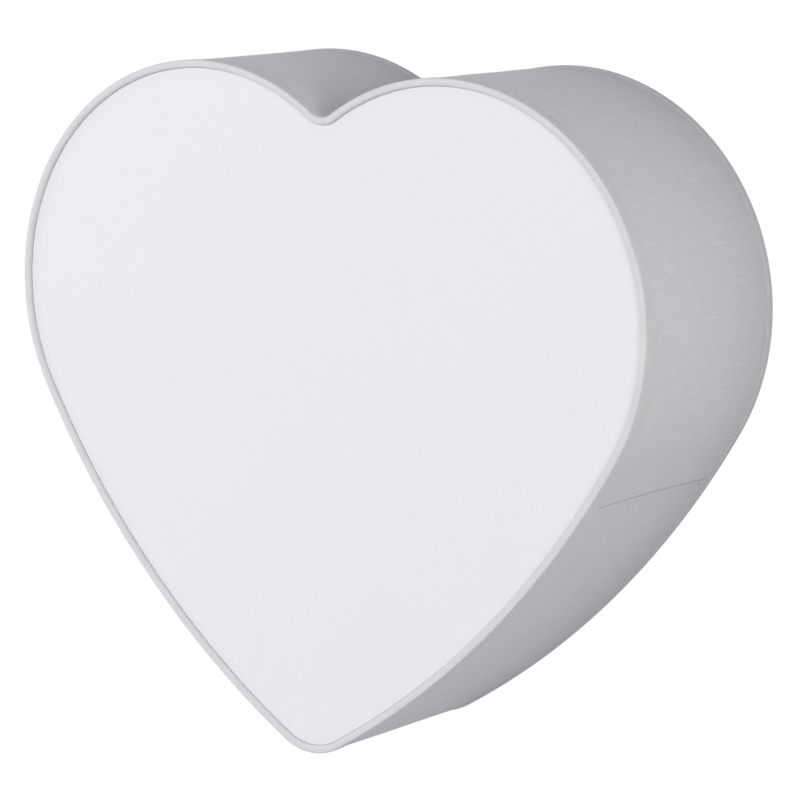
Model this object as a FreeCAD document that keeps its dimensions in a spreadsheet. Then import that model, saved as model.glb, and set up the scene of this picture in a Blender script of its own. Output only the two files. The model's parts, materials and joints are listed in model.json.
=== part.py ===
import FreeCAD, Part
import Sketcher
import math
import operator
import os
from types import SimpleNamespace
from FreeCAD import Placement, Rotation, Vector

# Heart-shaped wall light: a cloth shade on two wire rings that pulls forward off a wall tray,
# with two lamps lying sideways behind the front panel.
# Millimetres. The wall is the plane y = 0, the front faces -Y, and the origin is the middle of the tray.
# "d" below is a distance from the wall, so y = -d.

SIZES = {
    # heart outline, at the outer face of the side wall
    "lobe_radius": 122.2,
    "lobe_offset": 77.4,  # each lobe's centre from the middle
    "lobe_rise": 20.0,  # the lobes' centres above the middle of the tray
    "flank_radius": 485.5,
    "tip_radius": 32.7,
    "tip_drop": 204.8,  # the tip's centre below the lobes' centres
    "notch_radius": 11.7,
    # shade
    "shade_depth": 123.5,
    "shade_wall_gap": 1.0,  # the rear edge off the wall
    "ring_diameter": 2.4,
    "rail_diameter": 4.0,
    "sheet_thickness": 0.8,
    "cloth_thickness": 0.35,
    "glue_gap": 0.05,
    "outer_tail": 5.5,  # binding on the side wall, from the ring
    "front_inner_tail": 3.0,
    "rear_inner_tail": 0.7,
    "binding_edge": 0.7,  # rounding of the bindings' outer edges
    "panel_recess": 1.9,  # the panel behind the front binding
    "panel_thickness": 1.2,
    "panel_gap": 0.1,
    "lap_drop": 86.5,  # glued lap of the side wall, below the lobes' centres
    "lap_width": 14.0,
    "lap_thickness": 0.45,
    "lap_end_gap": 0.15,
    # wall tray
    "tray_width": 236.0,
    "tray_height": 96.0,
    "tray_depth": 12.0,
    "tray_sheet": 1.0,
    "tray_corner": 10.0,
    "tray_bend": 1.8,
    "slot_spacing": 160.0,
    "slot_width": 5.5,
    "slot_length": 14.0,
    "slot_height": 36.0,
    # cable grommet
    "grommet_height": 30.0,
    "grommet_hole": 14.0,
    "grommet_bore": 8.5,
    "grommet_lip": 2.6,
    "grommet_lip_thickness": 1.6,
    "grommet_fit": 0.05,
    # spring clips
    "clip_offset": 100.0,
    "clip_width": 10.0,
    "clip_sheet": 0.8,
    "clip_foot": 10.0,
    "clip_play": 0.15,
    "clip_lip": 2.0,
    "rail_reach": 12.0,  # the rails beyond the tray's edge
    # rivets
    "rivet_diameter": 4.0,
    "rivet_head": 7.2,
    "rivet_head_height": 1.6,
    "rivet_upset": 6.0,
    "rivet_upset_height": 1.2,
    "rivet_play": 0.05,
    "bracket_rivet_spacing": 20.0,
    # lampholder bracket
    "bracket_span": 48.0,
    "bracket_width": 25.0,
    "bracket_sheet": 2.0,
    "bracket_bend": 1.5,
    "bracket_ear": 13.0,  # the ears beyond the lamp axis
    "bracket_corner": 6.0,
    "lamp_axis_distance": 60.0,
    # nipples and nuts
    "nipple_diameter": 10.0,
    "nipple_bore": 7.0,
    "nipple_inside": 6.5,
    "nipple_reach": 6.0,
    "nipple_hole_play": 0.2,
    "thread_play": 0.05,
    "nut_across_flats": 14.0,
    "nut_thickness": 3.0,
    # lampholders, lengths from the bracket outwards
    "holder_diameter": 40.0,
    "cap_nose": 26.0,
    "cap_end": 3.0,
    "cap_shoulder": 9.0,
    "cap_length": 20.0,
    "cap_spigot": 6.0,
    "cap_seat": 14.0,
    "cap_wall": 1.55,
    "seat_ledge": 2.0,
    "skirt_length": 37.0,
    "skirt_wall": 1.4,
    "skirt_lip": 2.5,
    "skirt_lip_thickness": 2.0,
    "holder_play": 0.05,
    "insert_thickness": 10.0,
    "shell_bore": 27.2,
    "shell_wall": 0.5,
    "shell_length": 28.0,
    "shell_flange": 2.0,
    "contact_diameter": 6.0,
    "contact_height": 3.0,
    # lamps
    "lamp_length": 108.0,
    "globe_diameter": 60.0,
    "globe_wall": 1.2,
    "globe_base": 20.0,  # the globe's lower edge behind its centre
    "lamp_cap_diameter": 26.4,
    "thread_depth": 0.9,
    "thread_pitch": 3.6285,
    "thread_ridge": 3.2,
    "thread_crest": 1.1,
    "thread_start": 7.0,
    "lamp_cap_end": 25.5,
    "lamp_cap_wall": 0.4,
    "lamp_collar": 28.0,
    "lamp_collar_length": 3.0,
    "lamp_neck_depth": 14.0,
    "lamp_play": 0.05,
    "lamp_contact_gap": 0.05,
    "tip_diameter": 9.0,
    "tip_height": 1.5,
    "insulator_height": 3.5,
    "insulator_nose": 12.0,
    # terminal block
    "block_width": 37.0,
    "block_height": 17.0,
    "block_depth": 15.0,
    "block_drop": 30.0,
    "block_edge": 1.0,
    "pole_pitch": 11.0,
    "pole_depth": 7.0,
    "pole_diameter": 6.0,
    "pole_bore": 4.6,
    "pole_play": 0.05,
    "pole_end": 0.5,
    "terminal_screw_diameter": 3.0,
    "terminal_screw_spread": 9.0,
    "terminal_screw_sink": 0.5,
    "terminal_screw_play": 0.05,
    "fixing_diameter": 2.9,
    "fixing_head": 5.6,
    "fixing_head_height": 2.0,
    "fixing_tail": 3.0,
    "fixing_play": 0.05,
    # earth point
    "earth_offset": 55.0,
    "earth_drop": 17.0,
    "earth_diameter": 4.0,
    "earth_head": 7.6,
    "earth_head_height": 2.6,
    "earth_tail": 4.0,
    "earth_play": 0.05,
    "washer_diameter": 9.0,
    "washer_thickness": 0.8,
    "lug_diameter": 8.0,
    "lug_thickness": 0.8,
    "lug_neck": 3.0,
    "barrel_start": 5.0,
    "barrel_length": 6.0,
    "barrel_wall": 0.55,
    "barrel_play": 0.05,
    # wires
    "lead_diameter": 2.0,
    "lead_spread": 2.2,  # between the two leads in one pole
    "lead_stack": 2.4,  # between the two leads in one nipple
    "lead_bend": 5.0,
    "lead_depth": 7.0,  # into the pole
    "lead_end_gap": 0.1,
    "earth_bend": 4.0,
    "earth_rise": 5.0,
}

doc = FreeCAD.newDocument("HeartWallLight")
sheet = doc.addObject("Spreadsheet::Sheet", "Sizes")
for row, (name, value) in enumerate(SIZES.items(), start=1):
    sheet.set(f"A{row}", name)
    sheet.set(f"B{row}", str(value))
    sheet.setAlias(f"B{row}", name)
doc.recompute()


class Length:
    # A sheet value, or one worked out from sheet values: its expression text and its number.
    def __init__(self, text, number):
        self.text = text
        self.number = number

    def __add__(self, other):
        return combined(self, "+", other)

    def __sub__(self, other):
        return combined(self, "-", other)

    def __mul__(self, other):
        return combined(self, "*", other)

    def __truediv__(self, other):
        return combined(self, "/", other)

    def __neg__(self):
        return combined(zero, "-", self)


OPERATIONS = {"+": operator.add, "-": operator.sub, "*": operator.mul, "/": operator.truediv}


def length_of(value):
    return value if isinstance(value, Length) else Length(repr(float(value)), float(value))


def combined(first, sign, second):
    second = length_of(second)
    return Length(f"({first.text} {sign} {second.text})", OPERATIONS[sign](first.number, second.number))


def root(value):
    return Length(f"sqrt({value.text})", math.sqrt(value.number))


def square(value):
    return value * value


def larger_picks(first, second, if_larger, otherwise):
    # if_larger where first > second
    text = f"(({first.text}) > ({second.text}) ? ({if_larger.text}) : ({otherwise.text}))"
    picked = if_larger if first.number > second.number else otherwise
    return Length(text, picked.number)


zero = Length("0", 0.0)
s = SimpleNamespace(**{name: Length(f"Sizes.{name}", sheet.get(name)) for name in SIZES})

# Directions for turned pieces, whose own axis is +X.
RIGHT = Rotation()
LEFT = Rotation(Vector(0, 0, 1), 180)
FRONT = Rotation(Vector(0, 0, 1), -90)
UPSIDE_DOWN = Rotation(Vector(0, 1, 0), 180)

# Two coordinates this close are the same place.
SAME_PLACE = 0.01

pieces = []


def keep(obj, label):
    obj.Label = label
    pieces.append(obj)
    return obj


def bind(obj, **lengths):
    for name, length in lengths.items():
        setattr(obj, name, length.number)
        obj.setExpression(name, length.text)


def put(obj, x, d, z, rotation=RIGHT):
    obj.Placement = Placement(Vector(x.number, -d.number, z.number), rotation)
    for axis, length in (("x", x), ("y", -d), ("z", z)):
        obj.setExpression(f"Placement.Base.{axis}", length.text)


def new_body(label, x=zero, d=zero, z=zero, rotation=RIGHT):
    body = doc.addObject("PartDesign::Body", label)
    put(body, x, d, z, rotation)
    return body


def new_sketch(body, plane, name, offset=zero):
    sketch = body.newObject("Sketcher::SketchObject", name)
    feature = next(f for f in body.Origin.OriginFeatures if f.Role == plane)
    sketch.AttachmentSupport = [(feature, "")]
    sketch.MapMode = "FlatFace"
    sketch.AttachmentOffset = Placement(Vector(0, 0, offset.number), Rotation())
    sketch.setExpression("AttachmentOffset.Base.z", offset.text)
    return sketch


def constrain(sketch, *rule, length):
    index = sketch.addConstraint(Sketcher.Constraint(*rule, length.number))
    sketch.setExpression(f"Constraints[{index}]", length.text)


def hold(sketch, geometry, point, u=None, v=None):
    # Holds a point at its distances from the sketch's origin; a plain zero puts it on the axis.
    for kind, axis, length in (("DistanceX", -2, u), ("DistanceY", -1, v)):
        if length is zero:
            sketch.addConstraint(Sketcher.Constraint("PointOnObject", geometry, point, axis))
        elif length is not None:
            constrain(sketch, kind, -1, 1, geometry, point, length=length)


def arc_between(start, end, centre, clockwise):
    first, last = (end, start) if clockwise else (start, end)
    angles = [math.atan2(point.y - centre.y, point.x - centre.x) for point in (first, last)]
    circle = Part.Circle(centre, Vector(0, 0, 1), (start - centre).Length)
    return Part.ArcOfCircle(circle, angles[0], angles[1])


def outline(sketch, corners):
    # A closed loop. A corner is (u, v), or (u, v, centre_u, centre_v, clockwise) where an arc leads to it.
    first = len(sketch.Geometry)
    count = len(corners)
    spots = [Vector(corner[0].number, corner[1].number, 0) for corner in corners]
    ends = []
    for i, corner in enumerate(corners):
        start, end = spots[i - 1], spots[i]
        if len(corner) == 2:
            sketch.addGeometry(Part.LineSegment(start, end), False)
            ends.append((1, 2))
        else:
            centre = Vector(corner[2].number, corner[3].number, 0)
            sketch.addGeometry(arc_between(start, end, centre, corner[4]), False)
            ends.append((2, 1) if corner[4] else (1, 2))
    for i in range(count):
        after = (i + 1) % count
        joint = (first + i, ends[i][1], first + after, ends[after][0])
        sketch.addConstraint(Sketcher.Constraint("Coincident", *joint))
    for i, corner in enumerate(corners):
        u, v = corner[:2]
        if len(corner) == 2:
            hold(sketch, first + i, ends[i][1], u, v)
            continue
        hold(sketch, first + i, 3, corner[2], corner[3])
        beside = abs(u.number - corner[2].number) > abs(v.number - corner[3].number)
        hold(sketch, first + i, ends[i][1], None if beside else u, v if beside else None)


def circle(sketch, u, v, radius):
    centre = Vector(u.number, v.number, 0)
    index = sketch.addGeometry(Part.Circle(centre, Vector(0, 0, 1), radius.number), False)
    hold(sketch, index, 3, u, v)
    constrain(sketch, "Radius", index, length=radius)


def rectangle(sketch, left, bottom, right, top):
    outline(sketch, [(left, bottom), (right, bottom), (right, top), (left, top)])


def rounded_rectangle(sketch, half_width, half_height, radius):
    wide, high = half_width, half_height
    near_wide, near_high = wide - radius, high - radius
    outline(sketch, [
        (near_wide, -high),
        (wide, -near_high, near_wide, -near_high, False),
        (wide, near_high),
        (near_wide, high, near_wide, near_high, False),
        (-near_wide, high),
        (-wide, near_high, -near_wide, near_high, False),
        (-wide, -near_high),
        (-near_wide, -high, -near_wide, -near_high, False),
    ])


def slot(sketch, u, v, width, length):
    radius = width / 2
    reach = (length - width) / 2
    outline(sketch, [
        (u + reach, v - radius),
        (u + reach, v + radius, u + reach, v, False),
        (u - reach, v + radius),
        (u - reach, v - radius, u - reach, v, False),
    ])


def pad(body, sketch, length, midplane=False):
    feature = body.newObject("PartDesign::Pad", "Pad")
    feature.Profile = sketch
    feature.Midplane = midplane
    bind(feature, Length=length)
    return feature


def pocket(body, sketch, length, midplane=False, reverse=False):
    doc.recompute()
    before = body.Shape.Volume
    feature = body.newObject("PartDesign::Pocket", "Pocket")
    feature.Profile = sketch
    feature.Midplane = midplane
    feature.Reversed = reverse
    bind(feature, Length=length)
    doc.recompute()
    if body.Shape.Volume >= before:
        raise ValueError(f"{body.Label}: a pocket removed nothing")
    return feature


def near(number, length):
    return abs(number - length.number) < SAME_PLACE


def fillet(body, radius, wanted):
    # Rounds the edges of the body's tip for which wanted(edge) is true.
    doc.recompute()
    base = body.Tip
    names = [f"Edge{i}" for i, edge in enumerate(base.Shape.Edges, start=1) if wanted(edge)]
    feature = body.newObject("PartDesign::Fillet", "Fillet")
    feature.Base = (base, names)
    bind(feature, Radius=radius)
    doc.recompute()


def turned(label, profile, x, d, z, rotation):
    # A piece turned about its own X axis from a profile of (along, radius).
    body = new_body(label, x, d, z, rotation)
    sketch = new_sketch(body, "XY_Plane", "Profile")
    outline(sketch, profile)
    feature = body.newObject("PartDesign::Revolution", "Turn")
    feature.Profile = sketch
    feature.ReferenceAxis = (sketch, ["H_Axis"])
    feature.Angle = 360
    return body


def ring_profile(start, end, inner, outer):
    return [(start, inner), (end, inner), (end, outer), (start, outer)]


def stepped_pin(*steps):
    # A solid profile from (start, end, radius) steps that follow on from each other.
    profile = [(steps[0][0], zero)]
    for start, end, radius in steps:
        profile += [(start, radius), (end, radius)]
    return profile + [(steps[-1][1], zero)]


def group(label, members):
    compound = doc.addObject("Part::Compound", label)
    compound.Links = members
    return keep(compound, label)


# Heart outline
ring_radius = s.ring_diameter / 2
rail_radius = s.rail_diameter / 2
ring_inset = s.sheet_thickness + s.glue_gap + ring_radius
tip_centre = s.lobe_rise - s.tip_drop
notch_centre = s.lobe_rise + root(square(s.lobe_radius + s.notch_radius) - square(s.lobe_offset))
lobe_to_flank = s.flank_radius - s.lobe_radius
tip_to_flank = s.flank_radius - s.tip_radius
lobe_to_tip = root(square(s.lobe_offset) + square(s.tip_drop))
flank_along = (square(lobe_to_flank) - square(tip_to_flank) + square(lobe_to_tip)) / (lobe_to_tip * 2)
flank_across = root(square(lobe_to_flank) - square(flank_along))
flank_x = s.lobe_offset - (flank_along * s.lobe_offset + flank_across * s.tip_drop) / lobe_to_tip
flank_z = s.lobe_rise - (flank_along * s.tip_drop - flank_across * s.lobe_offset) / lobe_to_tip


def flank_at(z, inset):
    return flank_x + root(square(s.flank_radius - inset) - square(z - flank_z))


def half_width_at(z, inset):
    join = s.lobe_rise - (s.lobe_radius - inset) * (flank_z - s.lobe_rise) / lobe_to_flank
    above = larger_picks(z, join, z - s.lobe_rise, zero)
    below = larger_picks(z, join, flank_z, z)
    on_lobe = s.lobe_offset + root(square(s.lobe_radius - inset) - square(above))
    on_flank = flank_x + root(square(s.flank_radius - inset) - square(below - flank_z))
    return larger_picks(z, join, on_lobe, on_flank)


def heart(sketch, inset):
    # Six tangent arcs, counterclockwise: tip, right flank, right lobe, notch, left lobe, left flank.
    lobe, flank = s.lobe_radius - inset, s.flank_radius - inset
    tip, notch = s.tip_radius - inset, s.notch_radius + inset
    centres = {
        "tip": Vector(0, tip_centre.number, 0),
        "notch": Vector(0, notch_centre.number, 0),
    }
    for side, sign in (("right", 1), ("left", -1)):
        centres[f"{side} lobe"] = Vector(sign * s.lobe_offset.number, s.lobe_rise.number, 0)
        centres[f"{side} flank"] = Vector(sign * flank_x.number, flank_z.number, 0)

    def meeting(name, radius, away_from):
        ray = centres[name] - centres[away_from]
        return centres[name] + ray.normalize() * radius.number

    def notch_meeting(name):
        ray = centres["notch"] - centres[name]
        return centres[name] + ray.normalize() * lobe.number

    low = {side: meeting("tip", tip, f"{side} flank") for side in ("right", "left")}
    side_on = {side: meeting(f"{side} lobe", lobe, f"{side} flank") for side in ("right", "left")}
    top = {side: notch_meeting(f"{side} lobe") for side in ("right", "left")}
    arcs = (
        ("tip", tip, low["left"], low["right"]),
        ("right flank", flank, low["right"], side_on["right"]),
        ("right lobe", lobe, side_on["right"], top["right"]),
        ("notch", notch, top["left"], top["right"]),
        ("left lobe", lobe, top["left"], side_on["left"]),
        ("left flank", flank, side_on["left"], low["left"]),
    )
    at = {}
    for name, radius, start, end in arcs:
        at[name] = sketch.addGeometry(arc_between(start, end, centres[name], False), False)
        constrain(sketch, "Radius", at[name], length=radius)
    order = ("tip", "right flank", "right lobe", "notch", "left lobe", "left flank")
    for name, after in zip(order, order[1:] + order[:1]):
        leaves = 1 if name == "notch" else 2
        enters = 2 if after == "notch" else 1
        sketch.addConstraint(Sketcher.Constraint("Tangent", at[name], leaves, at[after], enters))
    hold(sketch, at["tip"], 3, zero, tip_centre)
    hold(sketch, at["right lobe"], 3, s.lobe_offset, s.lobe_rise)
    hold(sketch, at["left lobe"], 3, -s.lobe_offset, s.lobe_rise)


# Planes of the shade
crest_out = ring_inset + s.glue_gap + s.cloth_thickness
crest_in = ring_radius + s.glue_gap + s.cloth_thickness
rear_plane = s.shade_wall_gap + crest_in
front_plane = s.shade_wall_gap + s.shade_depth - crest_in
rail_plane = rear_plane + ring_radius + s.glue_gap + rail_radius
rail_height = s.tray_height / 2 + s.rail_reach
ring_tip = tip_centre - s.tip_radius + ring_inset


def side_wall():
    body = new_body("side_wall")
    # the sheet's edges are level with the outer sides of the rings
    loops = new_sketch(body, "XZ_Plane", "Band", rear_plane - ring_radius)
    heart(loops, zero)
    heart(loops, s.sheet_thickness)
    pad(body, loops, front_plane - rear_plane + s.ring_diameter)
    # the outer end of the sheet, glued over the inner end and thinning downwards
    edge = s.lobe_rise - s.lap_drop
    end = edge - s.lap_width
    stand, sink = s.lap_thickness, s.sheet_thickness / 2

    def lap_corner(z, outwards):
        x = flank_at(z, zero)
        share = outwards / s.flank_radius
        return x + (x - flank_x) * share, z + (z - flank_z) * share

    start = rear_plane + s.outer_tail + s.lap_end_gap
    lap = new_sketch(body, "XZ_Plane", "Lap", start)
    outline(lap, [
        lap_corner(edge, -sink),
        lap_corner(edge, stand),
        lap_corner(end, zero),
        lap_corner(end, -sink),
    ])
    pad(body, lap, front_plane - s.outer_tail - s.lap_end_gap - start)
    return keep(body, "side_wall")


def front_panel():
    body = new_body("front_panel")
    face = s.shade_wall_gap + s.shade_depth - s.panel_recess
    loop = new_sketch(body, "XZ_Plane", "Outline", face - s.panel_thickness)
    heart(loop, ring_inset + crest_in + s.panel_gap)
    pad(body, loop, s.panel_thickness)
    return keep(body, "front_panel")


def swept_heart(label, plane, draw_section):
    # A section drawn at the tip, in the plane x = 0, carried round the ring's centre line.
    body = new_body(label)
    spine = new_sketch(body, "XZ_Plane", "Path", plane)
    heart(spine, ring_inset)
    section = new_sketch(body, "YZ_Plane", "Section")
    draw_section(section)
    doc.recompute()
    feature = body.newObject("PartDesign::AdditivePipe", "Sweep")
    feature.Profile = section
    feature.Spine = (spine, [])
    return keep(body, label)


def wire_ring(label, plane):
    return swept_heart(label, plane, lambda section: circle(section, -plane, ring_tip, ring_radius))


def binding(label, plane, forward, inner_tail):
    # Cloth tape folded over the edge of the sheet and the wire; forward is the way its crest faces.
    def draw(section):
        def at(out, ahead):
            y = -(plane + ahead) if forward else -(plane - ahead)
            return y, ring_tip - out

        outer, inner, top = crest_out, -crest_in, crest_in
        outer_skin, inner_skin = outer - s.cloth_thickness, inner + s.cloth_thickness
        top_skin = top - s.cloth_thickness
        edge_out, edge_ahead = outer - s.binding_edge, top - s.binding_edge
        outline(section, [
            at(outer, -s.outer_tail),
            at(outer, edge_ahead),
            (*at(edge_out, top), *at(edge_out, edge_ahead), forward),
            at(zero, top),
            (*at(inner, zero), *at(zero, zero), forward),
            at(inner, -inner_tail),
            at(inner_skin, -inner_tail),
            at(inner_skin, zero),
            (*at(zero, top_skin), *at(zero, zero), not forward),
            at(outer_skin, top_skin),
            at(outer_skin, -s.outer_tail),
        ])

    return swept_heart(label, plane, draw)


def rail(label, height):
    # Straight wire lapped on the front of the rear ring, from side to side.
    bar = doc.addObject("Part::Cylinder", label)
    reach = half_width_at(height, ring_inset)
    bind(bar, Radius=rail_radius, Height=reach * 2)
    put(bar, -reach, rail_plane, height, Rotation(Vector(0, 1, 0), 90))
    return keep(bar, label)


# Wall tray
tray_face = s.tray_depth
rivet_radius = s.rivet_diameter / 2
rivet_hole = rivet_radius + s.rivet_play
clip_rivet_height = s.tray_height / 2 - s.clip_foot / 2
fixing_hole = s.fixing_diameter / 2 + s.fixing_play
earth_hole = s.earth_diameter / 2 + s.earth_play


def wall_tray():
    body = new_body("wall_tray")
    half_width, half_height = s.tray_width / 2, s.tray_height / 2
    outside = new_sketch(body, "XZ_Plane", "Outside")
    rounded_rectangle(outside, half_width, half_height, s.tray_corner)
    pad(body, outside, s.tray_depth)
    fillet(body, s.tray_bend, lambda edge: edge.BoundBox.YMax < -s.tray_depth.number / 2)
    inside = new_sketch(body, "XZ_Plane", "Inside")
    rounded_rectangle(
        inside, half_width - s.tray_sheet, half_height - s.tray_sheet, s.tray_corner - s.tray_sheet
    )
    pocket(body, inside, s.tray_depth - s.tray_sheet, reverse=True)
    holes = new_sketch(body, "XZ_Plane", "Holes", s.tray_depth)
    for sign in (-1, 1):
        slot(holes, s.slot_spacing / 2 * sign, s.slot_height, s.slot_width, s.slot_length)
        circle(holes, s.bracket_rivet_spacing / 2 * sign, zero, rivet_hole)
        circle(holes, s.pole_pitch / 2 * sign, -s.block_drop, fixing_hole)
        for up in (-1, 1):
            circle(holes, s.clip_offset * sign, clip_rivet_height * up, rivet_hole)
    circle(holes, zero, s.grommet_height, s.grommet_hole / 2)
    circle(holes, -s.earth_offset, -s.earth_drop, earth_hole)
    pocket(body, holes, s.tray_depth / 2)
    return keep(body, "wall_tray")


def cable_grommet():
    bore = s.grommet_bore / 2
    waist = s.grommet_hole / 2 - s.grommet_fit
    lip = s.grommet_hole / 2 + s.grommet_lip
    back = -s.tray_sheet - s.grommet_fit
    front = s.grommet_fit
    profile = [
        (back - s.grommet_lip_thickness, bore),
        (front + s.grommet_lip_thickness, bore),
        (front + s.grommet_lip_thickness, lip),
        (front, lip),
        (front, waist),
        (back, waist),
        (back, lip),
        (back - s.grommet_lip_thickness, lip),
    ]
    return keep(turned("cable_grommet", profile, zero, tray_face, s.grommet_height, FRONT), "cable_grommet")


def rivet(label, x, z, stack):
    # Through the tray and what lies on it, with a domed head in front and an upset tail behind.
    head, tail = s.rivet_head / 2, s.rivet_upset / 2
    back = -s.tray_sheet - s.rivet_play
    front = stack + s.rivet_play
    profile = stepped_pin(
        (back - s.rivet_upset_height, back, tail),
        (back, front, rivet_radius),
        (front, front + s.rivet_head_height / 2, head),
        (front + s.rivet_head_height / 2, front + s.rivet_head_height, head / 2),
    )
    return turned(label, profile, x, tray_face, z, FRONT)


def spring_clip(label, side, up):
    # Strip riveted to the tray, with a jaw that opens forwards round the rail.
    body = new_body(label, s.clip_offset * side, zero, zero, RIGHT if up > 0 else UPSIDE_DOWN)
    inner = rail_radius + s.clip_play
    outer = inner + s.clip_sheet
    back, front = tray_face, tray_face + s.clip_sheet
    foot = s.tray_height / 2 - s.clip_foot
    middle = (-rail_plane, rail_height)
    profile = new_sketch(body, "YZ_Plane", "Strip")
    outline(profile, [
        (-back, foot),
        (-back, rail_height - outer),
        (-rail_plane, rail_height - outer),
        (-rail_plane, rail_height + outer, *middle, False),
        (-front, rail_height + outer),
        (-front - s.clip_lip, rail_height + outer + s.clip_lip),
        (-front - s.clip_lip, rail_height + inner + s.clip_lip),
        (-front, rail_height + inner),
        (-rail_plane, rail_height + inner),
        (-rail_plane, rail_height - inner, *middle, True),
        (-front, rail_height - inner),
        (-front, foot),
    ])
    pad(body, profile, s.clip_width, midplane=True)
    hole = new_sketch(body, "XZ_Plane", "RivetHole", front)
    circle(hole, zero, clip_rivet_height, rivet_hole)
    pocket(body, hole, s.clip_sheet * 2)
    return keep(body, label)


def spring_clips():
    rivets = []
    for level, up in (("upper", 1), ("lower", -1)):
        for name, side in (("left", -1), ("right", 1)):
            spring_clip(f"{level}_{name}_clip", side, up)
            spot = (s.clip_offset * side, clip_rivet_height * up)
            rivets.append(rivet(f"{level}_{name}_clip_rivet", *spot, s.clip_sheet))
    group("clip_rivets", rivets)


# Lampholder bracket
ear_face = s.bracket_span / 2
nipple_radius = s.nipple_diameter / 2
threaded_bore = nipple_radius + s.thread_play


def lampholder_bracket():
    body = new_body("lampholder_bracket")
    floor, back = -(tray_face + s.bracket_sheet), -tray_face
    end = -(s.lamp_axis_distance + s.bracket_ear)
    inner = ear_face - s.bracket_sheet
    strip = new_sketch(body, "XY_Plane", "Strip")
    outline(strip, [
        (-ear_face, back), (-ear_face, end), (-inner, end), (-inner, floor),
        (inner, floor), (inner, end), (ear_face, end), (ear_face, back),
    ])
    pad(body, strip, s.bracket_width, midplane=True)

    def at_bend(face, depth):
        def wanted(edge):
            box = edge.BoundBox
            upright = box.ZLength > s.bracket_width.number / 2
            return upright and near(abs(box.XMin), face) and near(box.YMin, depth)
        return wanted

    def at_ear_end(edge):
        box = edge.BoundBox
        across = box.XLength > s.bracket_sheet.number / 2
        return across and near(box.YMax, end)

    fillet(body, s.bracket_bend, at_bend(inner, floor))
    fillet(body, s.bracket_bend + s.bracket_sheet, at_bend(ear_face, back))
    fillet(body, s.bracket_corner, at_ear_end)
    holes = new_sketch(body, "YZ_Plane", "NippleHoles")
    circle(holes, -s.lamp_axis_distance, zero, nipple_radius + s.nipple_hole_play)
    pocket(body, holes, s.bracket_span * 2, midplane=True)
    rivet_holes = new_sketch(body, "XZ_Plane", "RivetHoles", tray_face + s.bracket_sheet)
    for sign in (-1, 1):
        circle(rivet_holes, s.bracket_rivet_spacing / 2 * sign, zero, rivet_hole)
    pocket(body, rivet_holes, s.bracket_sheet * 2)
    keep(body, "lampholder_bracket")
    spots = (("left", -1), ("right", 1))
    group("bracket_rivets", [
        rivet(f"{name}_bracket_rivet", s.bracket_rivet_spacing / 2 * sign, zero, s.bracket_sheet)
        for name, sign in spots
    ])


# Lampholders and lamps, drawn along their own axis from the bracket's ear outwards
insert_face = s.cap_seat + s.insert_thickness
spigot_end = s.cap_length + s.cap_spigot
holder_radius = s.holder_diameter / 2
skirt_bore = holder_radius - s.skirt_wall
spigot_radius = skirt_bore - s.holder_play
insert_bore = spigot_radius - s.cap_wall
insert_radius = insert_bore - s.holder_play
shell_inner = s.shell_bore / 2
lamp_foot = insert_face + s.contact_height + s.lamp_contact_gap
globe_centre = lamp_foot + s.lamp_length - s.globe_diameter / 2
globe_edge = globe_centre - s.globe_base
globe_rim = root(square(s.globe_diameter / 2) - square(s.globe_base))
globe_inner_rim = root(square(s.globe_diameter / 2 - s.globe_wall) - square(s.globe_base))
lamp_cap_radius = s.lamp_cap_diameter / 2
lamp_cap_bore = lamp_cap_radius - s.thread_depth - s.lamp_cap_wall
insulator_face = lamp_foot + s.tip_height + s.insulator_height
lamp_cap_edge = lamp_foot + s.lamp_cap_end


def holder_cap_profile():
    nose = s.cap_nose / 2
    ledge = insert_bore - s.seat_ledge
    return [
        (zero, threaded_bore),
        (s.cap_end, threaded_bore),
        (s.cap_end, nose - s.cap_end),
        (s.cap_shoulder, ledge),
        (s.cap_seat, ledge),
        (s.cap_seat, insert_bore),
        (spigot_end, insert_bore),
        (spigot_end, spigot_radius),
        (s.cap_length, spigot_radius),
        (s.cap_length, holder_radius),
        (s.cap_shoulder, holder_radius),
        (zero, nose),
    ]


def holder_skirt_profile():
    start = s.cap_length + s.holder_play
    end = start + s.skirt_length
    lip = end - s.skirt_lip_thickness
    return [
        (start, skirt_bore),
        (lip, skirt_bore),
        (lip, skirt_bore - s.skirt_lip),
        (end, skirt_bore - s.skirt_lip),
        (end, holder_radius),
        (start, holder_radius),
    ]


def holder_shell_profile():
    start = insert_face
    outer = shell_inner + s.shell_wall
    return [
        (start, shell_inner),
        (start + s.shell_length, shell_inner),
        (start + s.shell_length, outer),
        (start + s.shell_wall, outer),
        (start + s.shell_wall, outer + s.shell_flange),
        (start, outer + s.shell_flange),
    ]


def lamp_cap_profile():
    # A thin shell with rounded-off thread ridges, closed in over the insulator.
    root_radius = lamp_cap_radius - s.thread_depth
    first = lamp_foot + s.thread_start
    turns = int((lamp_cap_edge.number - first.number) / s.thread_pitch.number)
    profile = [
        (insulator_face, s.insulator_nose / 2 + s.lamp_play),
        (insulator_face + s.lamp_cap_wall, lamp_cap_bore),
        (lamp_cap_edge, lamp_cap_bore),
        (lamp_cap_edge, root_radius),
    ]
    foot, crest = s.thread_ridge / 2, s.thread_crest / 2
    for turn in reversed(range(turns)):
        middle = first + s.thread_pitch * (turn + 0.5)
        profile += [
            (middle + foot, root_radius),
            (middle + crest, lamp_cap_radius),
            (middle - crest, lamp_cap_radius),
            (middle - foot, root_radius),
        ]
    return profile + [(insulator_face, root_radius)]


def lamp_housing_profile():
    neck = lamp_cap_bore - s.lamp_play
    start = lamp_cap_edge + s.lamp_play
    collar = s.lamp_collar / 2
    return [
        (start - s.lamp_neck_depth, zero),
        (start - s.lamp_neck_depth, neck),
        (start, neck),
        (start, collar),
        (start + s.lamp_collar_length, collar),
        (globe_edge, globe_rim),
        (globe_edge, zero),
    ]


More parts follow.
